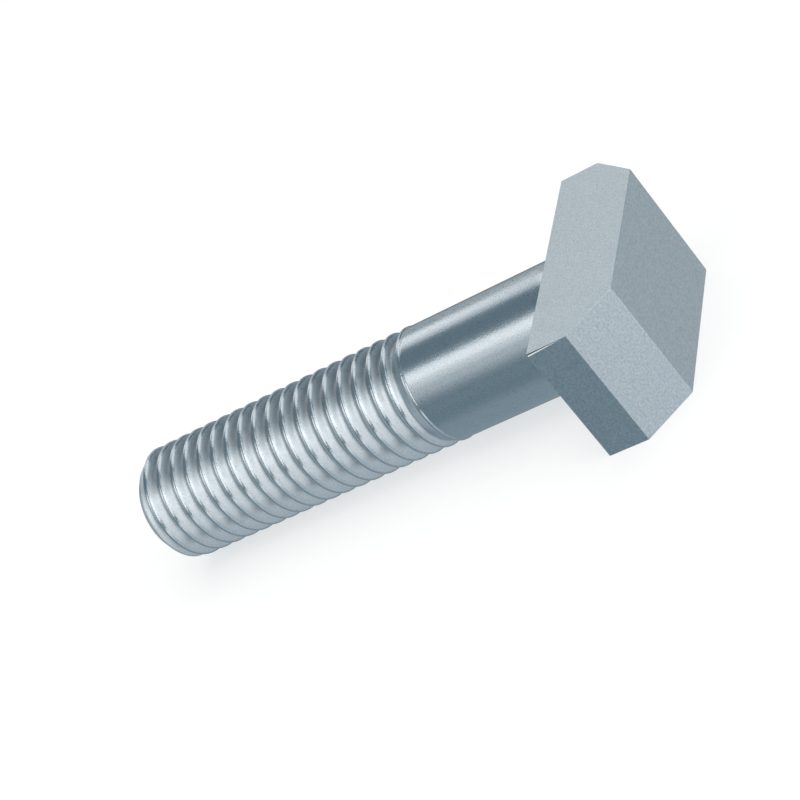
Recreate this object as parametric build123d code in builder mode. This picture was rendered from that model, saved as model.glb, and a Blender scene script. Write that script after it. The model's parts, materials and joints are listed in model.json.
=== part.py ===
from build123d import *
from math import ceil
import os

# A T-head bolt, forged and thread-rolled from one bar.
# X runs along the shank, from the head's bearing face to the thread's tip.
# Y runs along the head's two wings and Z up. The bolt lies on one flat side of its head.
# All sizes are in millimetres.

# Head
head_length = 25.5  # over both wings, along Y
head_width = 12.75  # between the two flat sides, along Z
head_height = 8.0  # along X, from the bearing face to the outer end
corner_cut = 4.0  # each wing's outer corner, cut at 45 degrees

# Shank
bolt_length = 50.0  # from the bearing face to the tip
shank_diameter = 11.6  # the plain stretch, left at the rolling blank's size

# Thread, right-hand and of 12 mm nominal size, with its crests rolled a little short
thread_pitch = 1.75
crest_diameter = 11.73
crest_width = 0.375  # the flat left between two grooves
groove_depth = 0.65  # from the crests down to the groove's sharp floor
thread_length = 34.4  # from where the crests leave the shank's surface to the tip
groove_lead = 1.54  # the groove starts this far ahead of the crests, straight above the axis
tip_chamfer = 1.25  # at 45 degrees

# Run-out: the crests rise gently from the shank, and the groove's floor sinks from it
crest_rise_length = 1.3  # over which the crests reach their full diameter
floor_delay = 0.7  # from where the crests leave the shank to where the floor does
floor_fall_length = 1.41  # over which the floor reaches its full depth

# Radii and stations that follow from the sizes above
shank_radius = shank_diameter / 2
crest_radius = crest_diameter / 2
root_radius = crest_radius - groove_depth
thread_start = bolt_length - thread_length
floor_start = thread_start + floor_delay
groove_start = thread_start - groove_lead

# The cutter stands proud of the crests, so that it leaves them cleanly, and keeps the groove's slope
cutter_rise = 0.05
flank_half = (thread_pitch - crest_width) / 2
cutter_half = flank_half * (groove_depth + cutter_rise) / groove_depth
groove_turns = ceil((bolt_length + cutter_half - groove_start) / thread_pitch)

# One full turn of the groove, from straight above the axis round to there again
with BuildPart() as groove_turn:
    with BuildLine() as turn_path:
        Helix(thread_pitch, thread_pitch, root_radius, direction=(1, 0, 0))
    with BuildSketch(Plane.XZ):
        Polygon(
            (0, root_radius),
            (cutter_half, crest_radius + cutter_rise),
            (-cutter_half, crest_radius + cutter_rise),
            align=None,
        )
    sweep(path=turn_path.line, is_frenet=True)

with BuildPart() as t_head_bolt:
    # the threaded stretch as a plain blank, turned round X, with its tip chamfered
    with BuildSketch(Plane.XY):
        Polygon(
            (thread_start, 0),
            (bolt_length, 0),
            (bolt_length, crest_radius - tip_chamfer),
            (bolt_length - tip_chamfer, crest_radius),
            (thread_start + crest_rise_length, crest_radius),
            (thread_start, shank_radius),
            align=None,
        )
    revolve(axis=Axis.X)

    # its groove, one turn after another and off past the tip
    for turn in range(groove_turns):
        with Locations((groove_start + turn * thread_pitch, 0, 0)):
            add(groove_turn.part, mode=Mode.SUBTRACT)

    # the plain shank, from inside the head. It fills the grooves up to its own surface, and then
    # up to a cone that sinks to their floor, and on to twice that depth inside the thread.
    with BuildSketch(Plane.XY):
        Polygon(
            (-head_height / 2, 0),
            (floor_start + 2 * floor_fall_length, 0),
            (floor_start + 2 * floor_fall_length, 2 * root_radius - shank_radius),
            (floor_start, shank_radius),
            (-head_height / 2, shank_radius),
            align=None,
        )
    revolve(axis=Axis.X)

    # the head, a flat-sided block with both outer corners cut
    with BuildSketch(Plane.XY):
        with Locations((-head_height / 2, 0)):
            block = Rectangle(head_height, head_length)
        chamfer(block.vertices().group_by(Axis.X)[0], corner_cut)
    extrude(amount=head_width / 2, both=True)

t_head_bolt.part.label = "t_head_bolt"
print("solids", len(t_head_bolt.part.solids()), "volume", round(t_head_bolt.part.volume, 1))

os.makedirs("parts", exist_ok=True)
export_step(t_head_bolt.part, "parts/t_head_bolt.step")
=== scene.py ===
import json
import math

import bmesh
import bpy
import numpy as np
from mathutils import Matrix, Vector


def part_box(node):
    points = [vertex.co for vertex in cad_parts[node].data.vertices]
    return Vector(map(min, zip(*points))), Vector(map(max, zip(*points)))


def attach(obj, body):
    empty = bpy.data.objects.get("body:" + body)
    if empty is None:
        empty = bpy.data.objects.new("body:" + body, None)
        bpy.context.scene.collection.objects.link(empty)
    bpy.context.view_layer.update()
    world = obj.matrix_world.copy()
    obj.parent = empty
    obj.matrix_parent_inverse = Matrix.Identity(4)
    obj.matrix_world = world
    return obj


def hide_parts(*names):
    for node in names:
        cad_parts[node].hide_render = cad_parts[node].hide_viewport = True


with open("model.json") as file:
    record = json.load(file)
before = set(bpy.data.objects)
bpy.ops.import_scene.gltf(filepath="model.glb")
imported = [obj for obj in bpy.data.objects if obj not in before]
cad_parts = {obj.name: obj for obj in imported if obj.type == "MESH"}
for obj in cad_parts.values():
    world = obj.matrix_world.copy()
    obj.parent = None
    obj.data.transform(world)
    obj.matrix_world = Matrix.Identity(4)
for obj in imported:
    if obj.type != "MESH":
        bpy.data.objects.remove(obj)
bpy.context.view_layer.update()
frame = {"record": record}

mm = 0.001
lowCorner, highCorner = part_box("t_head_bolt")
mountDims = {mount["name"]: mount["dims"] for mount in frame["record"]["mounts"]}


# Bolt
# X runs along the shank from the head's bearing face, Y along the wings, Z up.

boltSizes = {  # millimetres, and the first six come from the frame
    "headHeight": -lowCorner.x / mm,
    "headHalfLength": highCorner.y / mm,
    "headHalfWidth": highCorner.z / mm,
    "boltLength": highCorner.x / mm,
    "shankRadius": mountDims["shank"]["r_mm"],
    "crestRadius": mountDims["thread"]["r_mm"],
    "cornerCut": 4.0,
    "edgeRounding": 0.025,  # every edge of the head
    "neckRadius": 0.3,
    "pitch": 1.75,
    "crestPlace": 17.999,  # a crest's middle where it crosses +Y
    "crestWidth": 0.375,
    "grooveDepth": 0.9385,
    "flankSlope": math.tan(math.radians(60)),  # fall of the flank for each step along X
    "crestSoftness": 0.4,  # on the crest's side towards the head
    "farSoftness": 0.16,  # and towards the tip
    "softnessChange": 0.3,  # along X, over which one passes into the other
    "crestLift": 0.03,  # given to the crest, because its rounding takes about as much off
    "rootSoftness": 0.32,
    "firstCrest": 15.5,  # where along X the first crest starts to rise
    "firstCrestRise": 0.45,
    "firstCrestDepth": 0.1,  # how far it starts under the shank's surface
    "threadLead": 0.4,  # how far ahead of it the mesh starts to follow the helix
    "floorStart": 16.3,  # where the groove's floor starts to sink
    "floorSlope": 0.4157,
    "floorSoftness": 0.03,
    "tipChamfer": 1.25,
    "tipRounding": 0.05,
    "tipFall": 1.6,  # how many roundings the radius falls by, over the tip's rounded edge
}

nick = {  # a lap in the forging, where the head's +Y end meets its upper flat, in millimetres
    "reach": 3.9,  # of its seam, which is painted dark as shadow, along X from the bearing face
    "seam": 0.12,  # how high the seam is at the bearing face
    "leastSeam": 0.1,  # share of that height which is left where the seam ends
    "facetReach": 3.6,
    "facet": 0.15,  # height of the bright facet under the seam, at the bearing face
    "gap": 0.01,  # kept between neighbouring points of the mesh where the lap runs out
}

# How finely the mesh follows the shape
columns = 160  # round the axis
arcSteps = 4  # of those, over each rounded corner of the head
sideSteps = 20  # over each of the head's two ends
topSteps = columns // 2 - 2 * arcSteps - sideSteps
crowding = 1.3  # power by which an end's points crowd towards its corners
nickRings = 12
neckRings = 5
shankRings = 16
tipRings = 4  # over the tip's rounded edge
tipFaceRings = (0.7, 0.4, 0)  # shares of its radius at which the tip's flat end has rings
# millimetres from the middle of a crest to the rings on each side of it
crestRows = np.array([0.04, 0.11, 0.18, 0.24, 0.31, 0.39, 0.48, 0.58, 0.68, 0.78])
weldDistance = 0.0004 * mm
hair = 1e-6  # millimetres, for comparing places


# the smaller of two surfaces, with the crease between them rounded over a given height
def softMin(first, second, height):
    share = np.clip(0.5 + 0.5 * (second - first) / height, 0, 1)
    return second + (first - second) * share - height * share * (1 - share)


# and the larger of two
def softMax(first, second, height):
    return -softMin(-first, -second, height)


# from 0 to 1 with level ends: 3 v^2 - 2 v^3
def smoothStep(value):
    value = np.clip(value, 0, 1)
    return value * value * (3 - 2 * value)


# Distance from the axis of the threaded shank: the ridge's flat crest and its two straight flanks,
# by the distance from the crest's middle, over a floor that sinks from the shank along a cone,
# and under the tip's 45 degree cone.
def threadRadius(x, crestX):
    s = boltSizes
    risen = smoothStep((crestX - s["firstCrest"]) / s["firstCrestRise"])
    start = s["shankRadius"] - s["firstCrestDepth"]
    crest = start + risen * (s["crestRadius"] - start) + s["crestLift"]
    flank = crest + s["flankSlope"] * (s["crestWidth"] / 2 - np.abs(x - crestX))
    headward = smoothStep(0.5 - (x - crestX) / s["softnessChange"])
    softness = s["farSoftness"] + (s["crestSoftness"] - s["farSoftness"]) * headward
    root = s["crestRadius"] - s["grooveDepth"]
    ridge = softMax(softMin(crest, flank, softness), root, s["rootSoftness"])
    floor = s["shankRadius"] - s["floorSlope"] * np.maximum(x - s["floorStart"], 0)
    cone = s["crestRadius"] - s["tipChamfer"] + s["boltLength"] - x
    return softMin(softMax(ridge, floor, s["floorSoftness"]), cone, s["tipRounding"])


# Rings of the thread follow the helix: x = crest's middle + pitch * angle / full turn + offset.
# The offsets are crestRows to both sides, and half a pitch for the root. Rings that would start
# before the thread or end past the tip are held at those two places.
def threadRings(angles, startX, endX):
    s = boltSizes
    offsets = np.concatenate((-crestRows[::-1], crestRows, [s["pitch"] / 2]))
    turns = np.arange(
        math.floor((startX - s["crestPlace"]) / s["pitch"]) - 1,
        math.ceil((s["boltLength"] - s["crestPlace"]) / s["pitch"]) + 2,
    )
    crestX = s["crestPlace"] + s["pitch"] * (turns[:, None, None] + angles / (2 * math.pi))
    x = np.clip(crestX + offsets[None, :, None], startX, endX)
    r = threadRadius(x, crestX)
    x, r = x.reshape(-1, len(angles)), r.reshape(-1, len(angles))
    return np.stack((x, r * np.cos(angles), r * np.sin(angles)), -1)


# plain rings round the axis, from lists of x and r
def roundRings(angles, x, r):
    x, r = np.broadcast_arrays(np.reshape(x, (-1, 1)), np.reshape(r, (-1, 1)))
    return np.stack((x + 0 * angles, r * np.cos(angles), r * np.sin(angles)), -1)


# One ring of the head: a rectangle with rounded corners, walked from the middle of the +Y end
# round by +Z. The end's points crowd a little towards its corners, by a power.
def headRing(x, halfY, halfZ):
    rounding = boltSizes["edgeRounding"]
    straight = halfZ - rounding
    crowded = straight * (1 - (1 - np.linspace(0, 1, sideSteps // 2 + 1)) ** crowding)
    turn = np.linspace(0, math.pi / 2, arcSteps + 1)[1:]
    top = np.linspace(halfY - rounding, 0, topSteps // 2 + 1)[1:]
    y = np.concatenate((0 * crowded + halfY, halfY - rounding * (1 - np.cos(turn)), top))
    z = np.concatenate((crowded, straight + rounding * np.sin(turn), 0 * top + halfZ))
    y = np.concatenate((y, -y[-2::-1]))  # the quarter mirrored to the -Y end
    z = np.concatenate((z, z[-2::-1]))
    y = np.concatenate((y, y[-2::-1]))  # and the upper half mirrored down
    z = np.concatenate((z, -z[-2::-1]))
    return np.stack((0 * y + x, y, z), -1)


# The lap, cut into the +Y end under its upper edge: a seam straight down, whose faces carry a
# painted shadow, a step inwards, and a facet that comes back out at 45 degrees. Seam and facet
# both shrink evenly along X. The end's three grid points next to the edge take these places.
def cutNick(rings):
    edge = sideSteps // 2
    x, z = rings[:, edge, 0], rings[:, edge, 2]
    seam = nick["seam"] * np.clip(1 + x / nick["reach"], nick["leastSeam"], 1)
    facet = nick["facet"] * np.clip(1 + x / nick["facetReach"], 0, 1)
    onEnd = x > -nick["reach"] - hair
    rings[onEnd, edge - 1, 2] = (z - seam)[onEnd]
    rings[onEnd, edge - 2, 2] = (z - seam - nick["gap"])[onEnd]
    rings[onEnd, edge - 3, 2] = (z - seam - facet - 2 * nick["gap"])[onEnd]
    rings[onEnd, edge - 2, 1] -= facet[onEnd]
    return rings


# The head from its outer end to its bearing face, as rings of the same rectangle:
# grown along Y by the cut corners, and drawn in a little where an edge is rounded.
def headRings():
    s = boltSizes
    e, height, cut = s["edgeRounding"], s["headHeight"], s["cornerCut"]
    tipY, fullY, fullZ = s["headHalfLength"] - cut, s["headHalfLength"], s["headHalfWidth"]
    bend = e * (1 - math.sqrt(0.5))  # how far a rounded edge's middle stands in
    sizes = [  # x, half of the length and half of the width
        (-height, 1, 1),  # closed on one point below
        (-height, tipY - e, fullZ - e),
        (-height + bend, tipY - bend, fullZ - bend),
        (-height + e, tipY + e, fullZ),
        (-cut - e, fullY - e, fullZ),
        (-cut, fullY - bend, fullZ),
        (-cut + e, fullY, fullZ),
    ]
    sizes += [(-x, fullY, fullZ) for x in np.linspace(nick["reach"], e, nickRings)]
    sizes += [(-bend, fullY - bend, fullZ - bend), (0, fullY - e, fullZ - e)]
    rings = np.stack([headRing(*size) for size in sizes])
    rings[0, :, 1:] = 0
    return cutNick(rings)


# The neck as a quarter circle, the plain shank, the thread, and the tip with its flat end
def shankParts(angles):
    s = boltSizes
    quarter = np.linspace(0, math.pi / 2, neckRings)
    neckX = s["neckRadius"] * (1 - np.cos(quarter))
    neckR = s["shankRadius"] + s["neckRadius"] * (1 - np.sin(quarter))
    threadX = s["firstCrest"] - s["threadLead"]
    plainX = np.linspace(s["neckRadius"], threadX, shankRings)[1:]
    endX = s["boltLength"] - s["tipRounding"]
    tipR = s["crestRadius"] - s["tipChamfer"]
    share = np.linspace(0, 1, tipRings)
    edgeX = endX + s["tipRounding"] * np.sin(share * math.pi / 2)
    edgeR = tipR + s["tipRounding"] * (1 - s["tipFall"] * share**2)
    return (
        roundRings(angles, neckX, neckR),
        roundRings(angles, plainX, s["shankRadius"]),
        threadRings(angles, threadX, endX),
        roundRings(angles, edgeX, edgeR),
        roundRings(angles, s["boltLength"], tipR * np.array(tipFaceRings)),
    )


# Which faces are smooth, and which of the four finishes each one has. Flat faces keep their own
# normals, and only the rounded edges and the round shank are smooth.
def markFaces(shape, head):
    headBands, tipBands, edge = len(head), len(tipFaceRings), sideSteps // 2
    step = np.arange(columns) % (columns // 2)
    onArc = np.abs(step - edge - arcSteps / 2 + 0.5) < arcSteps / 2
    onArc |= np.abs(step - edge - topSteps - 1.5 * arcSteps + 0.5) < arcSteps / 2
    smooth = np.ones(shape, bool)
    smooth[:headBands] = False
    smooth[3 : headBands - 3, onArc] = True  # the edges along X
    smooth[[1, 2, headBands - 3, headBands - 2]] = True  # those round the head's two ends
    smooth[-tipBands:] = False

    onHead, onShank, inSeam, onFacet = range(4)  # in the order of the bolt's materials
    finish = np.full(shape, onShank, np.int32)
    finish[:headBands] = onHead
    inNick = head[:, 0, 0] > -nick["reach"] - hair
    finish[:headBands][inNick, edge - 2 : edge] = inSeam
    finish[:headBands][inNick, edge - 3] = onFacet
    finish[headBands - 1] = onHead  # the bearing face
    finish[-tipBands:] = onHead
    return smooth, finish


# The whole bolt is one grid of rings, from the middle of the head's end to the middle of the tip.
# Meeting points are welded, which closes both ends, the helix's seam and the held rings.
def makeBolt():
    angles = np.linspace(0, 2 * math.pi, columns + 1)
    head = headRings()
    grid = np.concatenate((head, *shankParts(angles)))
    rings, across = grid.shape[:2]
    corner = np.arange(rings * across).reshape(rings, across)
    quads = np.stack((corner[:-1, :-1], corner[:-1, 1:], corner[1:, 1:], corner[1:, :-1]), -1)
    smooth, finish = markFaces(quads.shape[:2], head)

    mesh = bpy.data.meshes.new("forged_t_head_bolt")
    mesh.from_pydata((grid * mm).reshape(-1, 3), [], quads.reshape(-1, 4))
    mesh.polygons.foreach_set("use_smooth", smooth.ravel())
    mesh.polygons.foreach_set("material_index", finish.ravel())
    piece = bpy.data.objects.new("forged_t_head_bolt", mesh)
    bpy.context.scene.collection.objects.link(piece)

    welded = bmesh.new()
    welded.from_mesh(mesh)
    bmesh.ops.remove_doubles(welded, verts=welded.verts, dist=weldDistance)
    welded.to_mesh(mesh)
    welded.free()
    mesh.update()
    return piece


bolt = makeBolt()
print("bolt: vertices", len(bolt.data.vertices), "faces", len(bolt.data.polygons))


# Finishes
# Lengths are in millimetres, and scales in grains to a millimetre.

finishNoise = {  # the same for all four finishes
    "detail": 2,
    "low": 0.3,  # nearly all of the noise lies between these two
    "high": 0.7,
    "cloudScale": 1.2,
    "clouds": 0.12,  # share by which broad clouds make the metal rougher and smoother
}

headFinish = {
    "colour": (0.62, 0.675, 0.715),
    "speckle": 0.14,  # share by which the grain darkens and lightens the colour
    "speckleScale": 5.2,
    "roughness": 0.33,
    "grain": 0.006,  # height of the fine grain
}
seamPaintedShadow = {  # painted shadow: the lap's seam coloured dark, as though shaded
    "colour": (0.1, 0.13, 0.15),
    "speckle": 0.3,
    "speckleScale": 9.0,
    "roughness": 0.6,
    "grain": 0.01,
}
facetFinish = {  # metal laid bare by the lap
    "colour": (0.64, 0.69, 0.725),
    "speckle": 0.06,
    "speckleScale": 9.0,
    "roughness": 0.24,
    "grain": 0.003,
}
shankFinish = {
    "colour": (0.62, 0.675, 0.715),
    "speckle": 0.07,
    "speckleScale": 6.5,
    "roughness": 0.19,
    "grain": 0.008,
    "crestGrain": 1.4,  # how many times coarser the thread's crests are
    "crestRadius": 5.85,
    "crestBlend": 0.04,  # under that radius, over which the crest's grain sets in
    "flankRoughness": 0.42,  # the thread's flanks, below the shank's surface
    "flankRadius": 5.75,
    "flankBlend": 0.08,
    "rootShade": 0.78,  # painted shade: how bright the groove's floor is left, as if the crests shaded it
    "rootRadius": 5.08,
    "rootBlend": 0.14,
    "paintedGrooveShade": {
        # painted shade where a neighbouring crest would shade the groove: share by which it is
        # darker, the radius at which that has faded out, and the heights over the axis where it
        # starts, is full, begins to fade and is gone
        "upper": (0.4, 5.6, (3.8, 4.7, 6.0, 6.1)),
        "lower": (0.36, 5.8, (-2.3, -1.4, -1.2, -0.3)),
    },
    "grooveShadeEnd": 48.4,  # where along X the painted shades of the groove stop, ahead of the tip's chamfer
    "grooveShadeBlend": 0.5,
    "pits": 0.28,  # share by which small pits darken the colour
    "pitScale": 6.0,
    "pitDetail": 1,
    "pitLevel": 0.67,  # of the noise, above which there is a pit
    "pitEdge": 0.06,  # of the noise, over which a pit reaches its full shade
    "pitsOnTop": 0.14,  # how far that level falls along the top of the shank
    "pitsHeight": (4.5, 5.5),  # above the axis, between which it does
    "pitsAcross": (1.0, -0.8),  # and along Y, towards the far side
}


# zinc on steel: a bright bluish metal with a fine crystalline grain
def zincSteel(name, look):
    material = bpy.data.materials.new(name)
    material.use_nodes = True
    nodes, links = material.node_tree.nodes, material.node_tree.links
    metal = nodes["Principled BSDF"]
    metal.inputs["Metallic"].default_value = 1
    place = nodes.new("ShaderNodeTexCoord").outputs["Object"]

    def noise(scale, detail):
        node = nodes.new("ShaderNodeTexNoise")
        node.inputs["Scale"].default_value = scale / mm
        node.inputs["Detail"].default_value = detail
        links.new(place, node.inputs["Vector"])
        return node.outputs["Fac"]

    def ramp(source, low, high, fromValue, toValue):
        node = nodes.new("ShaderNodeMapRange")
        node.inputs["From Min"].default_value = low
        node.inputs["From Max"].default_value = high
        node.inputs["To Min"].default_value = fromValue
        node.inputs["To Max"].default_value = toValue
        links.new(source, node.inputs["Value"])
        return node.outputs["Result"]

    # a value that noise moves down and up by a share of itself
    def varied(value, source, share):
        low, high = finishNoise["low"], finishNoise["high"]
        return ramp(source, low, high, value * (1 - share), value * (1 + share))

    def maths(operation, first, second):
        node = nodes.new("ShaderNodeMath")
        node.operation = operation
        links.new(first, node.inputs[0])
        links.new(second, node.inputs[1])
        return node.outputs["Value"]

    def times(first, second):
        return maths("MULTIPLY", first, second)

    def darkened(shade, share):
        return times(shade, ramp(share, 0, 1, 1, 0))

    speckle = noise(look["speckleScale"], finishNoise["detail"])
    clouds = noise(finishNoise["cloudScale"], finishNoise["detail"])
    shade = varied(1, speckle, look["speckle"])
    rough = varied(look["roughness"], clouds, finishNoise["clouds"])
    height = speckle
    if "paintedGrooveShade" in look:
        # distance from the axis, which tells crest, flank and root apart
        flat = nodes.new("ShaderNodeVectorMath")
        flat.operation = "MULTIPLY"
        flat.inputs[1].default_value = (0, 1, 1)
        links.new(place, flat.inputs[0])
        reach = nodes.new("ShaderNodeVectorMath")
        reach.operation = "LENGTH"
        links.new(flat.outputs["Vector"], reach.inputs[0])
        radius = reach.outputs["Value"]
        axes = nodes.new("ShaderNodeSeparateXYZ")
        links.new(place, axes.inputs["Vector"])
        x, y, z = axes.outputs

        crest, flank = look["crestRadius"] * mm, look["flankRadius"] * mm
        coarser = ramp(radius, crest - look["crestBlend"] * mm, crest, 1, look["crestGrain"])
        height = times(speckle, coarser)
        gain = look["flankRoughness"] / look["roughness"]
        rough = times(rough, ramp(radius, flank - look["flankBlend"] * mm, flank, gain, 1))

        # painted shade: the groove's floor and two bands of the groove are darkened where the
        # crests would shade them
        root, end = look["rootRadius"] * mm, look["grooveShadeEnd"] * mm
        inThread = ramp(x, end, end + look["grooveShadeBlend"] * mm, 1, 0)
        paintedRootShade = ramp(radius, root - look["rootBlend"] * mm, root, 1 - look["rootShade"], 0)
        shade = darkened(shade, times(inThread, paintedRootShade))
        # each band of painted shade in the groove
        for share, fadeRadius, (start, full, fading, gone) in look["paintedGrooveShade"].values():
            deep = ramp(radius, root, fadeRadius * mm, share, 0)
            rises = ramp(z, start * mm, full * mm, 0, 1)
            falls = ramp(z, fading * mm, gone * mm, 1, 0)
            shade = darkened(shade, times(times(deep, inThread), times(rises, falls)))

        low, high = look["pitsHeight"]
        near, far = look["pitsAcross"]
        onTop = ramp(z, low * mm, high * mm, 0, look["pitsOnTop"])
        onTop = times(onTop, ramp(y, far * mm, near * mm, 1, 0))
        pitted = maths("ADD", noise(look["pitScale"], look["pitDetail"]), onTop)
        level = look["pitLevel"]
        shade = times(shade, ramp(pitted, level, level + look["pitEdge"], 1, 1 - look["pits"]))
    tint = nodes.new("ShaderNodeVectorMath")
    tint.operation = "SCALE"
    tint.inputs[0].default_value = look["colour"]
    links.new(shade, tint.inputs["Scale"])
    links.new(tint.outputs["Vector"], metal.inputs["Base Color"])
    links.new(rough, metal.inputs["Roughness"])
    bump = nodes.new("ShaderNodeBump")
    bump.inputs["Distance"].default_value = look["grain"] * mm
    links.new(height, bump.inputs["Height"])
    links.new(bump.outputs["Normal"], metal.inputs["Normal"])
    return material


bolt.data.materials.append(zincSteel("zinc_on_forged_head", headFinish))
bolt.data.materials.append(zincSteel("zinc_on_rolled_shank", shankFinish))
# the lap's seam gets a painted shadow: a dark colour in place of its shade
bolt.data.materials.append(zincSteel("painted_shadow_in_seam", seamPaintedShadow))
bolt.data.materials.append(zincSteel("bare_metal_facet", facetFinish))
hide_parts("t_head_bolt")
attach(bolt, "root")
print("finishes: done")


# Studio
# A large pale floor under the head's flat side, a darker surround, and soft boxes that lie along
# the bolt's axis, so that the round shank shows them as long bright bands. In metres.

studio = {
    "floorHalf": 3.0,
    "floorColour": (0.5, 0.493, 0.486),
    "floorRoughness": 0.9,
    "floorGloss": 0.1,
    "floorLift": 0.6,  # plain white added to the floor as the camera sees it
    "surround": (0.16, 0.225, 0.265),
    "lampColour": (1, 0.955, 0.915),
    "lampAim": (0.02, 0, 0),
    "boxDistance": 0.4,
}

# Angles round the axis in degrees, from +Y up over +Z, ends along X, and brightness. Where boxes
# overlap their brightness adds up.
softBoxes = {
    "front_hem": (3, 79, 0.05, 0.85, 0.09),
    "front_skirt": (12, 71, 0.05, 0.85, 0.12),
    "front_fold": (21, 71, 0.05, 0.85, 0.17),
    "front_box": (37, 70, 0.05, 0.85, 0.24),
    "front_core": (49, 67, 0.05, 0.85, 0.40),
    "back_skirt": (118, 182, 0.05, 0.5, 0.25),
    "back_box": (121, 152, 0.2, 0.5, 0.31),
    "back_core": (130, 148, 0.2, 0.5, 0.38),
    "head_card": (124, 165, 0.03, 0.2, 0.32),
    "crest_box": (108, 143, -0.3, 0.05, 0.8),
}

softLamps = {  # place, width and brightness
    "side_wall": ((-0.6, 0.065, 0.185), 0.4, 1.5),
    "camera_wall": ((-0.36, 0.42, 0.36), 0.5, 1.1),
    "upper_wall": ((-0.42, 0.10, 0.47), 0.36, 0.6),
    "top_fill": ((0, 0, 0.8), 0.8, 1.2),
}

# What the metal sees below the horizon, by the direction alone, as in a studio much larger than
# the bolt: bright towards the head's side, and dark beyond the thread. The number before each
# colour is the X part of the direction.
metalView = {
    "level": [
        (-1.0, (1.1, 1.09, 1.08)),
        (-0.34, (1.03, 1.05, 1.06)),
        (0.1, (0.24, 0.32, 0.36)),
        (0.4, (0.2, 0.28, 0.32)),
        (0.62, (0.2, 0.28, 0.32)),
        (0.9, (0.5, 0.56, 0.6)),
    ],
    "shallow": [
        (-1.0, (1.0, 1.0, 1.0)),
        (-0.93, (1.0, 1.0, 1.0)),
        (-0.85, (0.8, 0.835, 0.855)),
        (-0.74, (0.505, 0.575, 0.62)),
        (-0.25, (0.56, 0.625, 0.66)),
        (0.05, (0.22, 0.3, 0.34)),
        (0.4, (0.185, 0.26, 0.3)),
        (0.62, (0.185, 0.26, 0.3)),
        (0.9, (0.5, 0.56, 0.6)),
    ],
    "steep": [
        (-1.0, (0.85, 0.9, 0.92)),
        (-0.7, (0.5, 0.56, 0.6)),
        (-0.5, (0.5, 0.56, 0.6)),
        (-0.35, (0.57, 0.61, 0.635)),
        (0.1, (0.29, 0.365, 0.41)),
        (0.4, (0.275, 0.35, 0.395)),
    ],
    "back": [(-0.4, (0.45, 0.505, 0.535)), (0.3, (0.25, 0.28, 0.3))],
    # the Z parts of the direction between which one passes into the next, and Y for the back
    "horizon": (-0.06, 0.02),
    "levelToShallow": (-0.12, -0.38),
    "shallowToSteep": (-0.5, -0.75),
    "frontToBack": (-0.5, -0.65),
}


def makeFloor():
    half, height = studio["floorHalf"], lowCorner.z
    mesh = bpy.data.meshes.new("floor")
    corners = [(x * half, y * half, height) for x, y in ((-1, -1), (1, -1), (1, 1), (-1, 1))]
    mesh.from_pydata(corners, [], [(0, 1, 2, 3)])
    floor = bpy.data.objects.new("floor", mesh)
    bpy.context.scene.collection.objects.link(floor)
    material = bpy.data.materials.new("pale_floor")
    material.use_nodes = True
    nodes, links = material.node_tree.nodes, material.node_tree.links
    shader = nodes["Principled BSDF"]
    shader.inputs["Base Color"].default_value = (*studio["floorColour"], 1)
    shader.inputs["Roughness"].default_value = studio["floorRoughness"]
    shader.inputs["Specular IOR Level"].default_value = studio["floorGloss"]
    shader.inputs["Emission Color"].default_value = (1, 1, 1, 1)
    path = nodes.new("ShaderNodeLightPath")
    seen = path.outputs["Is Camera Ray"]
    for ray in ("Is Glossy Ray", "Is Transmission Ray"):
        either = nodes.new("ShaderNodeMath")
        either.operation = "MAXIMUM"
        links.new(seen, either.inputs[0])
        links.new(path.outputs[ray], either.inputs[1])
        seen = either.outputs["Value"]
    lift = nodes.new("ShaderNodeMath")
    lift.operation = "MULTIPLY"
    lift.inputs[1].default_value = studio["floorLift"]
    links.new(seen, lift.inputs[0])
    links.new(lift.outputs["Value"], shader.inputs["Emission Strength"])
    mesh.materials.append(material)
    floor.visible_glossy = False  # the metal sees metalView in its place


def makeSurround():
    world = bpy.data.worlds.new("studio")
    bpy.context.scene.world = world
    world.use_nodes = True
    world.cycles.sampling_method = "NONE"
    nodes, links = world.node_tree.nodes, world.node_tree.links

    # 0 to 1 between two values
    def ramp(source, low, high):
        node = nodes.new("ShaderNodeMapRange")
        node.inputs["From Min"].default_value = low
        node.inputs["From Max"].default_value = high
        links.new(source, node.inputs["Value"])
        return node.outputs["Result"]

    # a row of tones over a part of the direction, which runs from -1 to 1
    def tones(source, stops):
        node = nodes.new("ShaderNodeValToRGB")
        elements = node.color_ramp.elements
        for place, _ in stops[2:]:
            elements.new((place + 1) / 2)
        for element, (place, colour) in zip(elements, stops):
            element.position = (place + 1) / 2
            element.color = (*colour, 1)
        links.new(source, node.inputs["Fac"])
        return node.outputs["Color"]

    def blend(share, first, second):
        node = nodes.new("ShaderNodeMix")
        node.data_type = "RGBA"
        links.new(share, node.inputs["Factor"])
        for name, colour in (("A", first), ("B", second)):
            if isinstance(colour, tuple):
                node.inputs[name].default_value = (*colour, 1)
            else:
                links.new(colour, node.inputs[name])
        return node.outputs["Result"]

    direction = nodes.new("ShaderNodeSeparateXYZ")
    links.new(nodes.new("ShaderNodeTexCoord").outputs["Generated"], direction.inputs["Vector"])
    x, y, z = direction.outputs
    place = ramp(x, -1, 1)
    below = tones(place, metalView["level"])
    for part, change, row in (
        (z, "levelToShallow", "shallow"),
        (z, "shallowToSteep", "steep"),
        (y, "frontToBack", "back"),
    ):
        below = blend(ramp(part, *metalView[change]), below, tones(place, metalView[row]))
    seen = blend(ramp(z, *metalView["horizon"]), below, studio["surround"])
    glossy = nodes.new("ShaderNodeLightPath").outputs["Is Glossy Ray"]
    colour = blend(glossy, studio["surround"], seen)
    links.new(colour, nodes["Background"].inputs["Color"])


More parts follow.
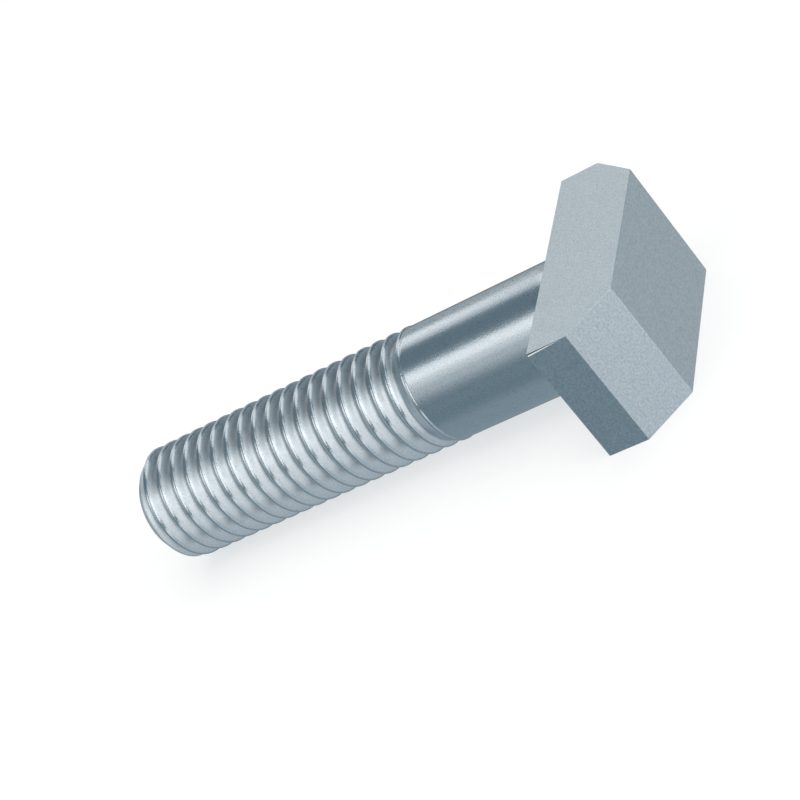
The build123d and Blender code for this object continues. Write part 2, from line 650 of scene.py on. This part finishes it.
# an oblong lamp whose face has a given brightness
def faceLamp(name, wide, tall, brightness):
    lamp = bpy.data.lights.new(name, "AREA")
    lamp.shape = "RECTANGLE"
    lamp.size = wide
    lamp.size_y = tall
    lamp.energy = brightness * math.pi * wide * tall
    lamp.color = studio["lampColour"]
    holder = bpy.data.objects.new(name, lamp)
    holder.visible_camera = False
    bpy.context.scene.collection.objects.link(holder)
    return holder


# facing the bolt's axis, between two angles round it
def axisLamp(name, low, high, fromX, toX, brightness):
    distance, angle = studio["boxDistance"], (low + high) / 2
    tall = 2 * distance * math.tan((high - low) / 2)
    holder = faceLamp(name, toX - fromX, tall, brightness)
    along = Vector((1, 0, 0))
    outward = Vector((0, math.cos(angle), math.sin(angle)))
    turn = Matrix((along, outward.cross(along), outward)).transposed()
    middle = outward * distance + along * (fromX + toX) / 2
    holder.matrix_world = Matrix.Translation(middle) @ turn.to_4x4()


# a square one, aimed at the bolt
def aimedLamp(name, place, width, brightness):
    holder = faceLamp(name, width, width, brightness)
    aim = Vector(studio["lampAim"]) - Vector(place)
    holder.location = place
    holder.rotation_euler = aim.to_track_quat("-Z", "Y").to_euler()


makeFloor()
makeSurround()
for name, (low, high, fromX, toX, brightness) in softBoxes.items():
    axisLamp(name, math.radians(low), math.radians(high), fromX, toX, brightness)
for name, (place, width, brightness) in softLamps.items():
    aimedLamp(name, place, width, brightness)
bpy.data.objects["top_fill"].visible_glossy = False  # it only fills the shadows
bolt.visible_glossy = False
print("studio: done")


# Camera
# Its aim is where the picture's middle meets the plane of the shank's axis.

camera = {  # place, aim, lens and sensor in millimetres
    "place": (-80.305, 152.630, 90.399),
    "aim": (20.862, 0.013, 0.0),
    "roll": 41.333,  # degrees, of the picture's top towards its right
    "lens": 98.142,
    "sensor": 36.0,
    "nearest": 0.001,  # metres, as is the farthest
    "farthest": 50,
}


def makeCamera():
    lens = bpy.data.cameras.new("camera")
    lens.lens = camera["lens"]
    lens.sensor_width = camera["sensor"]
    lens.clip_start = camera["nearest"]
    lens.clip_end = camera["farthest"]
    holder = bpy.data.objects.new("camera", lens)
    place = Vector(camera["place"]) * mm
    look = (Vector(camera["aim"]) * mm - place).to_track_quat("-Z", "Y").to_matrix()
    roll = Matrix.Rotation(-math.radians(camera["roll"]), 3, "Z")
    holder.matrix_world = Matrix.Translation(place) @ (look @ roll).to_4x4()
    bpy.context.scene.collection.objects.link(holder)
    bpy.context.scene.camera = holder


makeCamera()
bpy.context.scene.view_settings.view_transform = "Standard"
print("camera: done")
